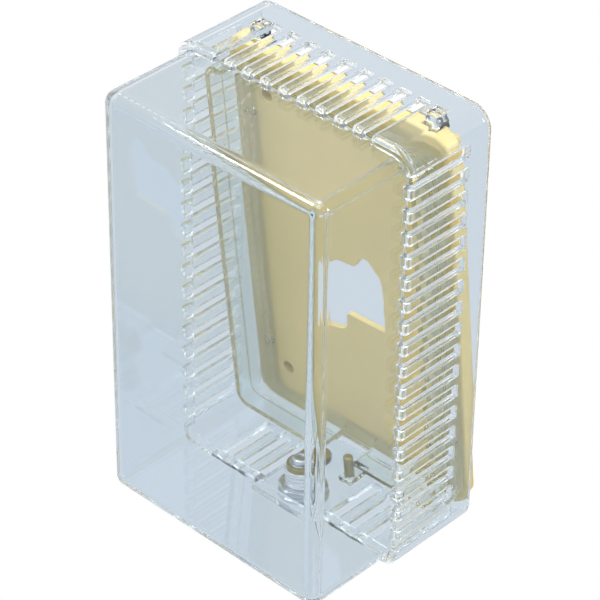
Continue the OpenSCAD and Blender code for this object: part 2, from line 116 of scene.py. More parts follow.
# Opaque moulding: coloured ABS with a fine spark-eroded texture that softens its sheen
def mouldedAbs(name, darker, lighter, roughness, grainMm):
    material, tree = newMaterial(name)
    grain = addNoise(tree, grainMm, detail=3.0)
    cloud = addNoise(tree, grainMm * 40)
    bump = addNode(tree, "ShaderNodeBump", {"Strength": 0.12, "Distance": 0.05 * mm},
                   {"Height": grain.outputs["Fac"]})
    body = addNode(tree, "ShaderNodeBsdfPrincipled", {"IOR": 1.53}, {
        "Base Color": addTone(tree, cloud, darker, lighter), "Normal": bump.outputs["Normal"],
        "Roughness": addRange(tree, grain, roughness - 0.06, roughness + 0.06).outputs[0],
    })
    addNode(tree, "ShaderNodeOutputMaterial", links={"Surface": body.outputs[0]})
    return material


# Metals: fine marks run round the turned parts, and the colour clouds a little with handling
def workedMetal(name, darker, lighter, roughness, markMm, stretch=(1.0, 1.0, 8.0)):
    material, tree = newMaterial(name)
    marks = addNoise(tree, markMm, stretch, 3.0)
    cloud = addNoise(tree, markMm * 12)
    bump = addNode(tree, "ShaderNodeBump", {"Strength": 0.15, "Distance": 0.02 * mm},
                   {"Height": marks.outputs["Fac"]})
    body = addNode(tree, "ShaderNodeBsdfPrincipled", {"Metallic": 1.0}, {
        "Base Color": addTone(tree, cloud, darker, lighter), "Normal": bump.outputs["Normal"],
        "Roughness": addRange(tree, marks, roughness * 0.7, roughness * 1.3).outputs[0],
    })
    addNode(tree, "ShaderNodeOutputMaterial", links={"Surface": body.outputs[0]})
    return material


# injection-moulded polycarbonate, polished in the tool
clearCover = clearPolycarbonate("clearPolycarbonateCover", "F2F8FC", 0.015, 14.0)
clearRing = clearPolycarbonate("clearPolycarbonateRing", "EFF5F3", 0.02, 9.0, "D2DAC8")
# injection-moulded ABS, coloured through
goldAbs = mouldedAbs("mouldedGoldAbs", "DBC07A", "E3C983", 0.42, 0.35)
# die-cast zinc, chromed and polished
chromedZinc = workedMetal("chromedZincCasting", "D4D6DA", "E2E4E6", 0.12, 0.25)
# pressed and turned steel, zinc-plated
zincSteel = workedMetal("zincPlatedSteel", "B4B8BC", "CCD0D2", 0.28, 0.3)
# turned steel, zinc-plated and passivated yellow
yellowZinc = workedMetal("yellowZincSteel", "B5A672", "C6B782", 0.36, 0.3)
# sheet and bar brass, dull and a little darkened
dullBrass = workedMetal("dullBrass", "8C7F4A", "A6985E", 0.34, 0.3)
print("materials made")


def addBox(bm, low, high):
    size = [b - a for a, b in zip(low, high)]
    middle = [(a + b) / 2 for a, b in zip(low, high)]
    place = Matrix.Translation(Vector(middle) * mm) @ Matrix.Diagonal(Vector(size + [1 / mm]) * mm)
    bmesh.ops.create_cube(bm, size=1, matrix=place)


# Turns the Z axis of what is drawn to the axis named
def turnTo(axis):
    return {"X": Matrix.Rotation(radians(90), 4, "Y"), "Y": Matrix.Rotation(radians(-90), 4, "X"),
            "Z": Matrix.Identity(4)}[axis]


# A round bar along an axis, from start to end as measured from its centre
def addRod(bm, radius, start, end, centre, axis="Y", segments=64):
    along = turnTo(axis) @ Vector((0, 0, (start + end) / 2))
    place = Matrix.Translation((Vector(centre) + along) * mm) @ turnTo(axis)
    bmesh.ops.create_cone(bm, cap_ends=True, segments=segments, radius1=radius * mm, radius2=radius * mm,
                          depth=(end - start) * mm, matrix=place)


# Adds a shape drawn on its own, moved to its place
def addShape(bm, shape, place=None):
    drawn = bpy.data.meshes.new("shape")
    shape.to_mesh(drawn)
    shape.free()
    if place is not None:
        drawn.transform(place)
    bm.from_mesh(drawn)
    bpy.data.meshes.remove(drawn)


# Spins a loop of (radius, height) points round the Z axis
def spinProfile(profile, segments):
    shape = bmesh.new()
    points = [shape.verts.new((r * mm, 0, h * mm)) for r, h in profile]
    for here, after in zip(points, points[1:] + points[:1]):
        if here.co.x or after.co.x:
            shape.edges.new((here, after))
    bmesh.ops.spin(shape, geom=shape.verts[:] + shape.edges[:], cent=(0, 0, 0), axis=(0, 0, 1), angle=2 * pi,
                   steps=segments, use_merge=True)
    bmesh.ops.remove_doubles(shape, verts=shape.verts, dist=1e-7)
    return shape


def addTurned(bm, profile, centre, axis="Z", segments=64):
    addShape(bm, spinProfile(profile, segments), Matrix.Translation(Vector(centre) * mm) @ turnTo(axis))


# A threaded tube: its crests wind round once for each pitch, and a flat may be ground along one side.
# The thread runs out at both ends, or runs on to the far one where that is cut off.
def addThread(bm, crest, root, bore, pitch, start, end, centre, axis="Z", segments=24, flat=None,
              cutOff=False):
    ringsPerPitch = 6
    crestFlat = 1.4  # over 1, it leaves a narrow flat on each crest
    first = start + lap / 2
    last = end + lap if cutOff else end - lap / 2
    levels = max(2, round((end - start) / pitch * ringsPerPitch))
    heights = [start + (end - start) * i / levels for i in range(levels + 1)]
    shape = spinProfile([(bore, start)] + [(root, h) for h in heights] + [(bore, end)], segments)
    for v in shape.verts:
        x, y, h = v.co / mm
        if hypot(x, y) > (bore + root) / 2 and first < h < last:
            wave = (h / pitch - atan2(y, x) / (2 * pi)) % 1.0
            swell = 1 + (crest / root - 1) * min(1.0, crestFlat * abs(2 * wave - 1))
            v.co.x *= swell
            v.co.y *= swell
        if flat:
            v.co.x = max(v.co.x, -flat * mm)
    addShape(bm, shape, Matrix.Translation(Vector(centre) * mm) @ turnTo(axis))


def roundEdges(bm, edges, radius, segments):
    bmesh.ops.bevel(
        bm, geom=edges, offset=radius * mm, offset_type="OFFSET", segments=segments, profile=0.5,
        affect="EDGES", clamp_overlap=False, material=-1,
    )


# A block with round corners seen from the front, and a round front edge; middle is its x and z
def addTray(bm, width, height, front, back, cornerRadius, frontRadius, middle=(0.0, 0.0), segments=16):
    own = bmesh.new()
    x, z = middle
    addBox(own, (x - width / 2, front, z - height / 2), (x + width / 2, back, z + height / 2))

    def depthwise(edge):
        return abs(edge.verts[0].co.y - edge.verts[1].co.y) > 0.5 * (back - front) * mm

    def onFront(edge):
        return all(abs(v.co.y - front * mm) < 1e-6 for v in edge.verts)

    if frontRadius == cornerRadius:
        roundEdges(own, [e for e in own.edges if depthwise(e) or onFront(e)], cornerRadius, segments)
    else:
        roundEdges(own, [e for e in own.edges if depthwise(e)], cornerRadius, segments)
        if frontRadius:
            roundEdges(own, [e for e in own.edges if onFront(e)], frontRadius, segments // 2)
    addShape(bm, own)


def solidObject(bm, name):
    bmesh.ops.recalc_face_normals(bm, faces=bm.faces)
    mesh = bpy.data.meshes.new(name)
    bm.to_mesh(mesh)
    bm.free()
    piece = bpy.data.objects.new(name, mesh)
    bpy.context.scene.collection.objects.link(piece)
    return piece


def bakeModifiers(piece):
    bpy.context.view_layer.update()
    shaped = piece.evaluated_get(bpy.context.evaluated_depsgraph_get())
    mesh = bpy.data.meshes.new_from_object(shaped)
    old = piece.data
    piece.modifiers.clear()
    piece.data = mesh
    bpy.data.meshes.remove(old)


def combine(piece, tool, how="DIFFERENCE"):
    cut = piece.modifiers.new("cut", "BOOLEAN")
    cut.operation = how
    cut.solver = "EXACT"
    cut.object = tool
    bakeModifiers(piece)
    bpy.data.objects.remove(tool)


# Splits the flat walls between the vents, so that no face has to go round more than one
def splitWalls(piece, direction, places):
    bm = bmesh.new()
    bm.from_mesh(piece.data)
    for place in places:
        bmesh.ops.bisect_plane(bm, geom=bm.verts[:] + bm.edges[:] + bm.faces[:], dist=1e-7,
                               plane_co=Vector(direction) * place * mm, plane_no=Vector(direction))
    bm.to_mesh(piece.data)
    bm.free()


# Softens the sharp edges, then keeps the flat walls flat in the shading
def softenEdges(piece, radius, segments=2, sharpest=40.0):
    weld = piece.modifiers.new("weld", "WELD")
    weld.merge_threshold = 0.002 * mm
    edge = piece.modifiers.new("edge", "BEVEL")
    edge.width = radius * mm
    edge.segments = segments
    edge.limit_method = "ANGLE"
    edge.angle_limit = radians(sharpest)
    edge.use_clamp_overlap = False
    bakeModifiers(piece)
    smoothFaces(piece)


def smoothFaces(piece):
    piece.data.polygons.foreach_set("use_smooth", [True] * len(piece.data.polygons))
    flat = piece.modifiers.new("flat", "WEIGHTED_NORMAL")
    flat.mode = "FACE_AREA"
    flat.keep_sharp = True
    bakeModifiers(piece)


def hangAjar(piece):
    pivot = Vector((0, hang["barY"], hang["barZ"])) * mm
    turn = Matrix.Rotation(radians(-hang["ajar"]), 4, "X")
    piece.data.transform(Matrix.Translation(pivot) @ turn @ Matrix.Translation(-pivot))


def finish(piece, body, material, slot, *nodes):
    piece.data.materials.clear()
    piece.data.materials.append(material)
    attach(piece, body)
    if nodes:
        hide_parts(*nodes)


# Distances are from the wall and from the plate's middle, with the cover shut
cover = {
    "boxWidth": 90.0, "boxHeight": 150.0, "front": -72.2, "ledge": -37.2, "rim": -2.2, "step": 3.0,
    "wall": 2.5, "boxRadius": 4.5, "skirtRadius": 7.3, "ledgeRadius": 1.2, "middleZ": 1.0,
    "ventWidth": 4.0, "ventLength": 25.5, "sidePitch": 8.0, "sideVents": 18, "endPitch": 7.5,
    "topVents": [-4, -3, -2, -1, 0, 1, 2, 3, 4], "bottomVents": [-4, -3, -2, 2, 3, 4],
    "padWidth": 24.6, "padFront": -39.7, "softEdge": 0.5,
}
lockPlace = {
    "y": -29.2, "floor": cover["middleZ"] - cover["boxHeight"] / 2 - cover["step"],
    "holeRadius": 5.1, "holeFlat": 4.4,
}
hook = {"x": 35.75, "width": 4.5, "bore": 1.25, "radius": 2.55, "mouth": 2.1}


# One hook with its open mouth down, hanging from the ceiling
def hookObject(x, ceiling):
    half, y, z = hook["width"] / 2, hang["barY"], hang["barZ"]
    bm = bmesh.new()
    addRod(bm, hook["radius"], -half, half, (x, y, z), "X")
    lug = solidObject(bm, "lug")
    bm = bmesh.new()
    addBox(bm, (x - half, y - hook["radius"], z), (x + half, y + hook["radius"], ceiling + sunk))
    combine(lug, solidObject(bm, "web"), "UNION")
    bm = bmesh.new()
    addRod(bm, hook["bore"], -farPast, farPast, (x, y, z), "X", 32)
    gap = solidObject(bm, "bore")
    bm = bmesh.new()
    addBox(bm, (x - farPast, y - hook["mouth"] / 2, z - farPast), (x + farPast, y + hook["mouth"] / 2, z))
    combine(gap, solidObject(bm, "mouth"), "UNION")
    combine(lug, gap)
    return lug


# Places side by side about a middle
def spread(count, pitch, middle=0.0):
    return [middle + (i - (count - 1) / 2) * pitch for i in range(count)]


def ventCutter(skirtWidth):
    c = cover
    half, front, back = c["ventWidth"] / 2, c["ledge"] - past, c["ledge"] + c["ventLength"]
    inner, outer = c["boxWidth"] / 2, skirtWidth / 2 + past
    bm = bmesh.new()
    for z in spread(c["sideVents"], c["sidePitch"], c["middleZ"]):
        addBox(bm, (inner, front, z - half), (outer, back, z + half))
        addBox(bm, (-outer, front, z - half), (-inner, back, z + half))
    for i in c["topVents"]:
        x, z = i * c["endPitch"], c["middleZ"] + c["boxHeight"] / 2
        addBox(bm, (x - half, front, z), (x + half, back, z + c["step"] + past))
    for i in c["bottomVents"]:
        x, z = i * c["endPitch"], c["middleZ"] - c["boxHeight"] / 2
        addBox(bm, (x - half, front, z - c["step"] - past), (x + half, back, z))
    return solidObject(bm, "vents")


# Hole for the lock's barrel, with its flat
def barrelHole():
    y, floor, wide = lockPlace["y"], lockPlace["floor"], 2 * lockPlace["holeRadius"]
    bm = bmesh.new()
    addRod(bm, lockPlace["holeRadius"], -2 * past, farPast, (0, y, floor), "Z")
    hole = solidObject(bm, "hole")
    bm = bmesh.new()
    addBox(bm, (-wide, y - wide, floor - farPast), (-lockPlace["holeFlat"], y + wide, floor + 2 * farPast))
    combine(hole, solidObject(bm, "flat"))
    return hole


def buildCover():
    c = cover
    wall, back, middle = c["wall"], c["ledge"] + c["wall"], (0.0, c["middleZ"])
    skirtWidth, skirtHeight = c["boxWidth"] + 2 * c["step"], c["boxHeight"] + 2 * c["step"]
    bm = bmesh.new()
    addTray(bm, c["boxWidth"], c["boxHeight"], c["front"], back, c["boxRadius"], c["boxRadius"], middle)
    shell = solidObject(bm, "clearCover")
    bm = bmesh.new()
    addTray(bm, skirtWidth, skirtHeight, c["ledge"], c["rim"], c["skirtRadius"], c["ledgeRadius"], middle)
    combine(shell, solidObject(bm, "skirt"), "UNION")
    half, floor, boxFloor = c["padWidth"] / 2, lockPlace["floor"], c["middleZ"] - c["boxHeight"] / 2
    bm = bmesh.new()
    addBox(bm, (-half, c["padFront"], floor), (half, back, boxFloor + wall))
    combine(shell, solidObject(bm, "pad"), "UNION")

    # hollow inside
    bm = bmesh.new()
    addTray(bm, c["boxWidth"] - 2 * wall, c["boxHeight"] - 2 * wall, c["front"] + wall, back + farPast,
            c["boxRadius"] - wall, c["boxRadius"] - wall, middle)
    inside = solidObject(bm, "inside")
    bm = bmesh.new()
    addTray(bm, skirtWidth - 2 * wall, skirtHeight - 2 * wall, back, c["rim"] + farPast,
            c["skirtRadius"] - wall, 0, middle)
    combine(inside, solidObject(bm, "skirtInside"), "UNION")
    bm = bmesh.new()
    addBox(bm, (wall - half, c["padFront"] + wall, floor + wall),
           (half - wall, back + farPast, boxFloor + wall + farPast))
    combine(inside, solidObject(bm, "padInside"), "UNION")
    combine(shell, inside)

    # vents, which break through the ledge
    splitWalls(shell, (0, 0, 1), spread(c["sideVents"] + 1, c["sidePitch"], c["middleZ"]))
    splitWalls(shell, (1, 0, 0), spread(len(c["topVents"]) + 1, c["endPitch"]))
    combine(shell, ventCutter(skirtWidth))

    combine(shell, barrelHole())
    for side in (-1, 1):
        combine(shell, hookObject(side * hook["x"], c["middleZ"] + skirtHeight / 2 - wall), "UNION")
    softenEdges(shell, c["softEdge"])
    hangAjar(shell)
    finish(shell, "cover", clearCover, "clear_cover", "cover")


buildCover()
print("cover made")

# The ring's back is let a little way into the plate's face, so that no gap shows between them
ring = {
    "width": 88.0, "height": 139.5, "front": -31.2, "back": -18.66, "stepAt": -24.95, "step": 0.8,
    "radius": 6.0, "wall": 2.0, "flange": 8.5, "notch": 6.6, "notchBack": -22.0,
    "tongue": (6.8, 11.8), "tongueFront": -38.0, "screwX": 37.95, "screwZ": 46.0, "screwHole": 1.42,
    "topOpening": 36.0, "lowSill": 4.0, "film": 0.52, "softEdge": 0.25,
}
pin = {"x": 9.0, "y": -35.2, "radius": 1.6, "length": 10.0, "bevel": 0.35, "softEdge": 0.1}


def buildRing():
    r = ring
    thick, edge = r["step"] + r["wall"], r["step"] + r["flange"]
    floor, flangeFront = -r["height"] / 2, r["back"] - r["wall"]
    bm = bmesh.new()
    addTray(bm, r["width"] - 2 * r["step"], r["height"] - 2 * r["step"], r["front"], r["stepAt"] + lap,
            r["radius"] - r["step"], 0)
    frameRing = solidObject(bm, "clearRing")
    bm = bmesh.new()
    addTray(bm, r["width"], r["height"], r["stepAt"], r["back"], r["radius"], 0)
    combine(frameRing, solidObject(bm, "rear"), "UNION")

    # hollow inside, then the window in the flange, which is lower at its sill
    bm = bmesh.new()
    addTray(bm, r["width"] - 2 * thick, r["height"] - 2 * thick, r["front"] - past, flangeFront,
            r["radius"] - thick, 0)
    inside = solidObject(bm, "inside")
    bm = bmesh.new()
    addTray(bm, r["width"] - 2 * edge, r["height"] - 2 * edge + r["lowSill"], flangeFront - past,
            r["back"] + past, r["radius"] / 2, 0, (0, -r["lowSill"] / 2))
    combine(inside, solidObject(bm, "window"), "UNION")
    combine(frameRing, inside)

    bm = bmesh.new()
    addBox(bm, (r["tongue"][0], r["tongueFront"], floor),
           (r["tongue"][1], r["front"] + r["wall"], floor + r["wall"]))
    combine(frameRing, solidObject(bm, "tongue"), "UNION")

    # notch in the wall, and the thinned flange behind it, for the cam
    bm = bmesh.new()
    addBox(bm, (-r["notch"], r["front"] - past, floor - past),
           (r["notch"], r["notchBack"], floor + thick + lap))
    combine(frameRing, solidObject(bm, "notch"))
    bm = bmesh.new()
    addBox(bm, (-r["notch"], flangeFront - lap, floor + thick),
           (r["notch"], r["back"] - r["film"], floor + edge + lap))
    combine(frameRing, solidObject(bm, "camWay"))

    # between its corners the top wall goes no further forward than the step
    bm = bmesh.new()
    addBox(bm, (-r["topOpening"], r["front"] - past, -floor - thick - lap),
           (r["topOpening"], r["stepAt"], past - floor))
    combine(frameRing, solidObject(bm, "topOpening"))

    bm = bmesh.new()
    for sideX in (-1, 1):
        for sideZ in (-1, 1):
            place = (sideX * r["screwX"], 0, sideZ * r["screwZ"])
            addRod(bm, r["screwHole"], flangeFront - past, r["back"] + past, place, "Y", 32)
    addRod(bm, pin["radius"] + seat, -past, r["wall"] + past, (pin["x"], pin["y"], floor), "Z", 32)
    combine(frameRing, solidObject(bm, "holes"))
    softenEdges(frameRing, r["softEdge"])
    finish(frameRing, "base", clearRing, "clear_ring", "ring_base")


def buildPin():
    p = pin
    radius, length, bevel = p["radius"], p["length"], p["bevel"]
    bm = bmesh.new()
    addTurned(bm, [(0, 0), (radius, 0), (radius, length - bevel), (radius - bevel, length), (0, length)],
              (p["x"], p["y"], -ring["height"] / 2))
    piece = solidObject(bm, "keeperPin")
    softenEdges(piece, p["softEdge"])
    finish(piece, "base", dullBrass, "lock_brass", "keeper_pin")


buildRing()
buildPin()
print("ring and keeper made")

plate = {
    "width": 90.0, "height": 147.0, "face": -18.7, "lip": -13.2, "wall": 2.0, "radius": 7.0, "edge": 1.0,
    "boss": 4.0, "screwHole": 2.2, "screwX": 30.0, "screwZ": 55.0, "rib": 1.2, "ringBoss": 2.8,
    "opening": [(-13.0, -26.5), (-5.5, -24.2), (-3.9, -22.6), (-3.2, -16.5), (13.0, -15.8), (13.0, 2.2),
                (12.0, 6.0), (7.2, 10.9), (4.6, 10.4), (1.6, 5.3), (-6.0, 4.3), (-13.0, -1.8)],
    "openingRadius": 0.7, "hookWindow": 5.1, "hookGap": 0.3, "bar": 1.2, "barHold": 1.5, "softEdge": 0.25,
}


# Opening for the wires: a window with a slanted leg below its left end and a peak above its right
def wireCutter():
    p = plate
    bm = bmesh.new()
    outline = bm.faces.new([bm.verts.new(Vector((x, p["face"] - past, z)) * mm) for x, z in p["opening"]])
    drawn = bmesh.ops.extrude_face_region(bm, geom=[outline])["geom"]
    far = [part for part in drawn if isinstance(part, bmesh.types.BMVert)]
    bmesh.ops.translate(bm, verts=far, vec=(0, (p["wall"] + 2 * past) * mm, 0))
    deepEdges = [e for e in bm.edges if abs(e.verts[0].co.y - e.verts[1].co.y) > mm]
    roundEdges(bm, deepEdges, p["openingRadius"], 4)
    return solidObject(bm, "opening")


def addRibs(tray, back):
    p = plate
    half = p["rib"] / 2
    for side in (-1, 1):
        x, z = side * p["screwX"], side * p["screwZ"]
        for low, high in (((x - half, -p["screwZ"]), (x + half, p["screwZ"])),
                          ((-p["screwX"], z - half), (p["screwX"], z + half))):
            bm = bmesh.new()
            addBox(bm, (low[0], back - sunk, low[1]), (high[0], p["lip"], high[1]))
            combine(tray, solidObject(bm, "rib"), "UNION")


# Bosses for the ring's screws, and hollow bosses that stand on the wall
def addBosses(tray, back):
    p = plate
    ringBossEnd = p["lip"] + p["wall"]
    corners = [(x, z) for x in (-1, 1) for z in (-1, 1)]
    bosses = bmesh.new()
    holes = bmesh.new()
    for x, z in corners:
        wallScrew = (x * p["screwX"], 0, z * p["screwZ"])
        ringScrew = (x * ring["screwX"], 0, z * ring["screwZ"])
        addRod(bosses, p["boss"], back - sunk, 0, wallScrew, "Y", 48)
        addRod(bosses, p["ringBoss"], back - sunk, ringBossEnd, ringScrew, "Y", 48)
        addRod(holes, p["screwHole"], p["face"] - past, past, wallScrew, "Y", 48)
        addRod(holes, ring["screwHole"], p["face"] - past, ringBossEnd + past, ringScrew, "Y", 32)
    combine(tray, solidObject(bosses, "bosses"), "UNION")
    combine(tray, solidObject(holes, "holes"))


def buildPlate():
    p = plate
    back = p["face"] + p["wall"]
    bm = bmesh.new()
    addTray(bm, p["width"], p["height"], p["face"], p["lip"], p["radius"], p["edge"])
    tray = solidObject(bm, "wallPlate")
    bm = bmesh.new()
    addTray(bm, p["width"] - 2 * p["wall"], p["height"] - 2 * p["wall"], back, p["lip"] + past,
            p["radius"] - p["wall"], 0)
    combine(tray, solidObject(bm, "hollow"))
    low, half = hang["barZ"] - hook["radius"] - p["hookGap"], p["hookWindow"] / 2
    bm = bmesh.new()
    for side in (-1, 1):
        x = side * hook["x"]
        addBox(bm, (x - half, back, low), (x + half, p["lip"] + past, p["height"] / 2 + past))
    combine(tray, solidObject(bm, "hookWindows"))
    addRibs(tray, back)
    addBosses(tray, back)
    combine(tray, wireCutter())
    hold = half + p["barHold"]
    bm = bmesh.new()
    for side in (-1, 1):
        addRod(bm, p["bar"], -hold, hold, (side * hook["x"], hang["barY"], hang["barZ"]), "X", 32)
    combine(tray, solidObject(bm, "bars"), "UNION")
    softenEdges(tray, p["softEdge"])
    finish(tray, "base", goldAbs, "gold_plastic", "wall_plate")


screw = {
    "head": 2.6, "headThick": 1.6, "dome": 0.7, "domeSteps": 8, "set": 0.03, "thread": 1.4, "root": 1.1,
    "core": 0.3, "pitch": 0.8, "length": 7.0, "cross": (0.55, 2.8, 0.9),
}


# Pan heads with a cross, on the ring's flange
def buildScrews():
    s = screw
    headBack = ring["back"] - ring["wall"] + s["set"]
    wide, longWay, deep = s["cross"]
    angles = [pi / 2 * i / s["domeSteps"] for i in range(s["domeSteps"])]
    dome = [(s["head"] * cos(a), s["dome"] - s["headThick"] - s["dome"] * sin(a)) for a in angles]
    bm = bmesh.new()
    tools = bmesh.new()
    for sideX in (-1, 1):
        for sideZ in (-1, 1):
            place = (sideX * ring["screwX"], headBack, sideZ * ring["screwZ"])
            addTurned(bm, [(0, 0), (s["head"], 0)] + dome + [(0, -s["headThick"])], place, "Y", 32)
            addThread(bm, s["thread"], s["root"], s["core"], s["pitch"], -lap, s["length"], place, "Y",
                      cutOff=True)
            x, y, z = place
            front = y - s["headThick"]
            for acrossX, acrossZ in ((wide, longWay), (longWay, wide)):
                addBox(tools, (x - acrossX / 2, front - past, z - acrossZ / 2),
                       (x + acrossX / 2, front + deep, z + acrossZ / 2))
    piece = solidObject(bm, "ringScrews")
    combine(piece, solidObject(tools, "crosses"))
    smoothFaces(piece)
    finish(piece, "base", yellowZinc, "zinc_steel", "ring_screws")


buildPlate()
buildScrews()
print("plate and screws made")

# Heights in the lock are from the outside of the cover's floor
barrel = {
    "head": 7.5, "headThick": 2.0, "bevel": 0.8, "crest": 5.0, "root": 4.55, "flat": 4.3, "length": 11.5,
    "pitch": 1.5, "threadFrom": 0.2, "neck": 0.3, "bore": 3.55, "pocket": 4.45, "pocketDeep": 1.25,
    "groove": (4.4, 4.15, 0.6, 9.1),
}
lockWasher = {"outer": 7.0, "inner": 5.1, "height": 2.51, "thick": 0.5, "softEdge": 0.12}
nut = {"across": 13.0, "corner": 7.3, "height": 3.02, "thick": 2.5, "bevel": (0.6, 0.5), "softEdge": 0.12}
plug = {
    "radius": 3.5, "face": 4.4, "faceThick": 1.2, "bevel": 0.25, "square": 4.5, "squareTop": 13.48,
    "keyway": (1.1, 4.6, 8.0), "slots": 5, "slotPitch": 1.6, "slotFrom": 1.06, "slotHigh": 0.68,
    "slotHalf": 2.2, "lug": (3.1, -0.4, 0.9), "pit": (0.42, 2.55, -1.6), "softEdge": 0.06,
}
cam = {"hub": 4.6, "width": 8.0, "reach": 9.9, "height": 11.55, "thick": 2.0, "hole": 4.6, "softEdge": 0.2}
camWasher = {"outer": 3.6, "inner": 1.25, "height": 13.57, "thick": 0.5, "softEdge": 0.1}
camScrew = {
    "head": 2.7, "thread": 1.2, "depth": 0.25, "core": 0.2, "pitch": 0.7, "height": 14.09, "thick": 1.6,
    "length": 5.0, "slot": 0.7, "crown": [(0, 0.5), (0.15, 0.2), (0.5, 0)],
}


def lockPoint(x, y, height):
    return (x, lockPlace["y"] + y, lockPlace["floor"] + height)


def finishLockPiece(piece, edge, body, material, slot, node):
    if edge:
        softenEdges(piece, edge)
    else:
        smoothFaces(piece)
    hangAjar(piece)
    finish(piece, body, material, slot, node)


# Round bore with grooves that the wafers spring into, thread with a flat side, and a turned head
def buildBarrel():
    b = barrel
    bm = bmesh.new()
    addThread(bm, b["crest"], b["root"], b["bore"], b["pitch"], b["threadFrom"], b["length"],
              lockPoint(0, 0, 0), segments=64, flat=b["flat"])
    piece = solidObject(bm, "lockBarrel")
    wide, deep, low, high = b["groove"]
    bm = bmesh.new()
    addBox(bm, lockPoint(-wide / 2, 0, low), lockPoint(wide / 2, deep, high))
    combine(piece, solidObject(bm, "groove"))
    bm = bmesh.new()
    addBox(bm, lockPoint(0, -wide / 2, low), lockPoint(deep, wide / 2, high))
    combine(piece, solidObject(bm, "sideGroove"))
    head, under, pocket = b["head"], -b["headThick"], b["pocketDeep"] - b["headThick"]
    bm = bmesh.new()
    addTurned(bm, [
        (b["pocket"], under), (head - b["bevel"], under), (head, under + b["bevel"]), (head, -seat),
        (b["root"], -seat), (b["root"], b["neck"]), (b["bore"], b["neck"]), (b["bore"], pocket),
        (b["pocket"], pocket),
    ], lockPoint(0, 0, 0))
    combine(piece, solidObject(bm, "head"), "UNION")
    finishLockPiece(piece, 0, "cover", chromedZinc, "lock_chrome", "lock_body")


def buildWasher(washer, name, body, node):
    inner, outer, low = washer["inner"], washer["outer"], washer["height"]
    high = low + washer["thick"]
    bm = bmesh.new()
    addTurned(bm, [(inner, low), (outer, low), (outer, high), (inner, high)], lockPoint(0, 0, 0))
    finishLockPiece(solidObject(bm, name), washer["softEdge"], body, zincSteel, "zinc_steel", node)


# Hexagon nut, its corners turned back to a circle
def buildNut():
    n = nut
    low, high, corner = n["height"], n["height"] + n["thick"], n["corner"]
    back, rise = n["bevel"]
    bm = bmesh.new()
    addTurned(bm, [(0, low), (corner - back, low), (corner, low + rise), (corner, high - rise),
                   (corner - back, high), (0, high)], lockPoint(0, 0, 0))
    piece = solidObject(bm, "lockNut")
    bm = bmesh.new()
    addRod(bm, n["across"] / 3 ** 0.5, low - past, high + past, lockPoint(0, 0, 0), "Z", 6)
    combine(piece, solidObject(bm, "hexagon"), "INTERSECT")
    bm = bmesh.new()
    addRod(bm, barrel["crest"] + seat, low - past, high + past, lockPoint(0, 0, 0), "Z")
    combine(piece, solidObject(bm, "bore"))
    finishLockPiece(piece, n["softEdge"], "cover", zincSteel, "zinc_steel", "lock_nut")


def slotHeights():
    return [plug["slotFrom"] + i * plug["slotPitch"] for i in range(plug["slots"])]


# Slots through the plug for the wafers, wider on the side of their lugs, with a pit for each spring
def cutSlots(piece):
    p = plug
    reach = p["radius"] + past / 2
    lugX, lugLow, lugHigh = p["lug"]
    pit, pitX, pitLow = p["pit"]
    heights = slotHeights()
    bm = bmesh.new()
    for h in heights:
        addBox(bm, lockPoint(-p["slotHalf"], -reach, h), lockPoint(p["slotHalf"], reach, h + p["slotHigh"]))
    combine(piece, solidObject(bm, "slots"))
    bm = bmesh.new()
    for h in heights:
        addBox(bm, lockPoint(0, lugLow, h), lockPoint(lugX, lugHigh, h + p["slotHigh"]))
    combine(piece, solidObject(bm, "lugs"))
    bm = bmesh.new()
    for h in heights:
        addRod(bm, pit, pitLow, 0, lockPoint(pitX, 0, h + p["slotHigh"] / 2), "Y", 16)
    combine(piece, solidObject(bm, "pits"))


def buildPlug():
    p = plug
    under = -barrel["headThick"]
    bm = bmesh.new()
    addTurned(bm, [
        (0, under), (p["face"] - p["bevel"], under), (p["face"], under + p["bevel"]),
        (p["face"], under + p["faceThick"]), (p["radius"], under + p["faceThick"]),
        (p["radius"], barrel["length"]), (0, barrel["length"]),
    ], lockPoint(0, 0, 0))
    piece = solidObject(bm, "lockPlug")
    half = p["square"] / 2
    bm = bmesh.new()
    addBox(bm, lockPoint(-half, -half, barrel["length"] - lap), lockPoint(half, half, p["squareTop"]))
    combine(piece, solidObject(bm, "square"), "UNION")
    wide, longWay, deep = p["keyway"]
    bm = bmesh.new()
    addBox(bm, lockPoint(-wide / 2, -longWay / 2, under - past), lockPoint(wide / 2, longWay / 2, deep))
    combine(piece, solidObject(bm, "keyway"))
    cutSlots(piece)
    finishLockPiece(piece, p["softEdge"], "plug", dullBrass, "lock_brass", "lock_plug")


def buildCam():
    c = cam
    low, high, tipY = c["height"], c["height"] + c["thick"], c["reach"] - c["width"] / 2
    bm = bmesh.new()
    addRod(bm, c["hub"], low, high, lockPoint(0, 0, 0), "Z")
    piece = solidObject(bm, "lockCam")
    bm = bmesh.new()
    addRod(bm, c["width"] / 2, low, high, lockPoint(0, tipY, 0), "Z")
    tip = solidObject(bm, "tip")
    bm = bmesh.new()
    addBox(bm, lockPoint(-c["width"] / 2, 0, low), lockPoint(c["width"] / 2, tipY, high))
    combine(tip, solidObject(bm, "arm"), "UNION")
    combine(piece, tip, "UNION")
    half = c["hole"] / 2
    bm = bmesh.new()
    addBox(bm, lockPoint(-half, -half, low - past), lockPoint(half, half, high + past))
    combine(piece, solidObject(bm, "squareHole"))
    finishLockPiece(piece, c["softEdge"], "plug", dullBrass, "lock_brass", "lock_cam")


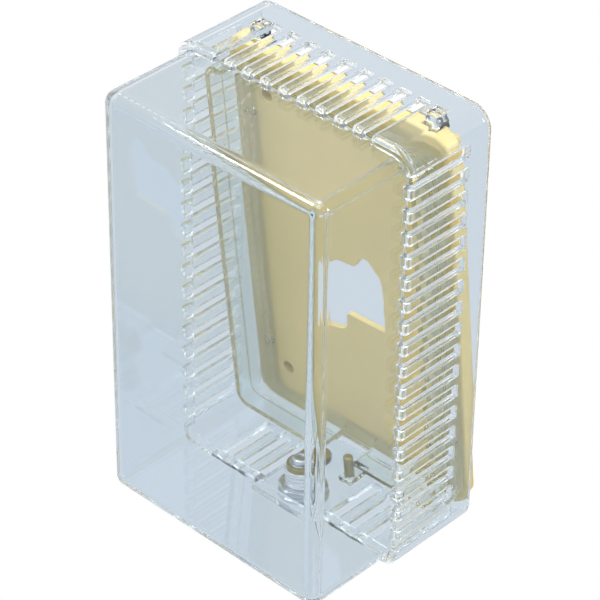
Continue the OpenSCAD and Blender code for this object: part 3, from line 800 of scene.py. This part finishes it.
def buildCamScrew():
    s = camScrew
    low, high = s["height"], s["height"] + s["thick"]
    crown = [(s["head"] - inward, high - drop) for inward, drop in s["crown"]]
    bm = bmesh.new()
    addTurned(bm, [(0, low), (s["head"], low)] + crown + [(0, high)], lockPoint(0, 0, 0))
    addThread(bm, s["thread"], s["thread"] - s["depth"], s["core"], s["pitch"], low - s["length"], low + lap,
              lockPoint(0, 0, 0))
    piece = solidObject(bm, "camScrew")
    reach = s["head"] + past
    bm = bmesh.new()
    addBox(bm, lockPoint(-reach, -s["slot"] / 2, low + s["thick"] / 2),
           lockPoint(reach, s["slot"] / 2, high + past))
    combine(piece, solidObject(bm, "slot"))
    finishLockPiece(piece, 0, "plug", zincSteel, "zinc_steel", "cam_screw")


springs = {
    "from": -1.5, "to": -0.34, "coil": 0.29, "wire": 0.055, "wireSides": 6, "turns": 5, "stepsPerTurn": 16,
}


# Wire coils in the pits beside the wafers, each spun from a round section that climbs as it goes round
def buildSprings():
    s = springs
    steps = s["turns"] * s["stepsPerTurn"]
    climb = (s["to"] - s["from"] - 2 * s["wire"]) / steps
    bm = bmesh.new()
    for slot in slotHeights():
        height, x = slot + plug["slotHigh"] / 2, plug["pit"][1]
        start = Matrix.Translation(Vector(lockPoint(x + s["coil"], s["from"] + s["wire"], height)) * mm)
        coil = bmesh.new()
        bmesh.ops.create_circle(coil, cap_ends=True, segments=s["wireSides"], radius=s["wire"] * mm,
                                matrix=start @ Matrix.Rotation(radians(90), 4, "Z"))
        bmesh.ops.spin(coil, geom=coil.verts[:] + coil.edges[:] + coil.faces[:], axis=(0, -1, 0),
                       cent=Vector(lockPoint(x, 0, height)) * mm, dvec=(0, climb * mm, 0),
                       angle=2 * pi * s["turns"], steps=steps)
        addShape(bm, coil)
    piece = solidObject(bm, "waferSprings")
    piece.data.polygons.foreach_set("use_smooth", [True] * len(piece.data.polygons))
    hangAjar(piece)
    finish(piece, "plug", zincSteel, "zinc_steel", "wafer_springs")


buildBarrel()
buildWasher(lockWasher, "lockWasher", "cover", "lock_washer")
buildNut()
buildPlug()
buildCam()
buildWasher(camWasher, "camWasher", "plug", "cam_washer")
buildCamScrew()
buildSprings()
print("lock made")

# the stamped wafers keep their own shape
for i in range(plug["slots"]):
    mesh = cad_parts["wafer_%d" % (i + 1)].data
    mesh.materials.clear()
    mesh.materials.append(dullBrass)

# Camera at the photograph's place, worked out from the box's edges
view = {
    "place": (0.50174, -0.50799, 0.59226), "azimuth": 46.9977, "elevation": 40.5922, "roll": -5.2139,
    "lens": 175.28, "sensor": 36.0, "near": 0.01, "far": 20.0,
}
lens = bpy.data.cameras.new("camera")
lens.lens = view["lens"]
lens.sensor_width = view["sensor"]
lens.clip_start = view["near"]
lens.clip_end = view["far"]
camera = bpy.data.objects.new("camera", lens)
heading = Matrix.Rotation(radians(view["azimuth"]), 4, "Z")
tilt = Matrix.Rotation(radians(90 - view["elevation"]), 4, "X")
roll = Matrix.Rotation(radians(view["roll"]), 4, "Z")
camera.matrix_world = Matrix.Translation(view["place"]) @ heading @ tilt @ roll
bpy.context.scene.collection.objects.link(camera)
bpy.context.scene.camera = camera

studio = {
    "floor": -0.22, "floorSize": 6.0, "white": "FFFFFF", "paper": "D6DDE4", "paperLit": "E8E8E8",
    "skyLight": 0.4, "skyColour": "F4F7FA", "surround": (2.6, -0.22, 0.3, "D2D8DC"),
    "bounces": 48, "glossyBounces": 32,
    "lamps": [
        # name, place, aim, width, height, power
        ("keyLamp", (-0.51, -0.38, 0.86), (0, -0.04, 0), 0.2, 0.2, 3.5),
        ("sideLamp", (0.82, 0.39, 0.35), (0, -0.04, 0), 0.24, 0.24, 3.0),
        ("topLamp", (0.0, -0.15, 1.3), (0, -0.04, 0), 1.6, 1.2, 18.0),
    ],
}


# Mixes what lights the object, what metal and clear plastic show, and what the camera sees itself
def addViews(tree, lit, shown, seen):
    path = addNode(tree, "ShaderNodeLightPath")
    either = addNode(tree, "ShaderNodeMath", {"operation": "MAXIMUM"},
                     {0: path.outputs["Is Glossy Ray"], 1: path.outputs["Is Transmission Ray"]})
    inner = addNode(tree, "ShaderNodeMixShader",
                    links={0: either.outputs[0], 1: lit.outputs[0], 2: shown.outputs[0]})
    outer = addNode(tree, "ShaderNodeMixShader",
                    links={0: path.outputs["Is Camera Ray"], 1: inner.outputs[0], 2: seen.outputs[0]})
    return outer.outputs[0]


# Paper that is white to the camera and shows its own pale colour in metal and clear plastic
def backdropPaper(name, colour):
    material, tree = newMaterial(name)
    lit = addNode(tree, "ShaderNodeBsdfDiffuse", {"Color": toLinear(studio["paperLit"])})
    shown = addNode(tree, "ShaderNodeEmission", {"Color": toLinear(colour), "Strength": 1.0})
    seen = addNode(tree, "ShaderNodeEmission", {"Color": toLinear(studio["white"]), "Strength": 1.0})
    addNode(tree, "ShaderNodeOutputMaterial", links={"Surface": addViews(tree, lit, shown, seen)})
    return material


bm = bmesh.new()
bmesh.ops.create_grid(bm, x_segments=1, y_segments=1, size=studio["floorSize"] / 2,
                      matrix=Matrix.Translation((0, 0, studio["floor"])))
floor = solidObject(bm, "floor")
floor.data.materials.append(backdropPaper("paleFloor", studio["paper"]))

# a low wall of pale grey paper stands round the floor, for the clear edges to show
radius, low, high, colour = studio["surround"]
bm = bmesh.new()
bmesh.ops.create_cone(bm, cap_ends=False, segments=24, radius1=radius, radius2=radius, depth=high - low,
                      matrix=Matrix.Translation((0, 0, (low + high) / 2)))
surround = solidObject(bm, "surround")
surround.data.materials.append(backdropPaper("greyWalls", colour))

world = bpy.data.worlds.new("studio")
bpy.context.scene.world = world
world.use_nodes = True
tree = world.node_tree
tree.nodes.clear()
sky = addNode(tree, "ShaderNodeBackground",
              {"Color": toLinear(studio["skyColour"]), "Strength": studio["skyLight"]})
white = addNode(tree, "ShaderNodeBackground", {"Color": toLinear(studio["white"]), "Strength": 1.0})
addNode(tree, "ShaderNodeOutputWorld", links={"Surface": addViews(tree, sky, white, white)})

for name, place, target, width, height, power in studio["lamps"]:
    lamp = bpy.data.lights.new(name, "AREA")
    lamp.shape = "RECTANGLE"
    lamp.size = width
    lamp.size_y = height
    lamp.energy = power
    holder = bpy.data.objects.new(name, lamp)
    back = (Vector(place) - Vector(target)).normalized()
    holder.matrix_world = Matrix.Translation(place) @ back.to_track_quat("Z", "Y").to_matrix().to_4x4()
    bpy.context.scene.collection.objects.link(holder)

# light turns back many times inside clear walls before it leaves them
cycles = bpy.context.scene.cycles
cycles.max_bounces = studio["bounces"]
cycles.transmission_bounces = studio["bounces"]
cycles.glossy_bounces = studio["glossyBounces"]
bpy.context.scene.view_settings.view_transform = "Standard"
print("camera and studio set")
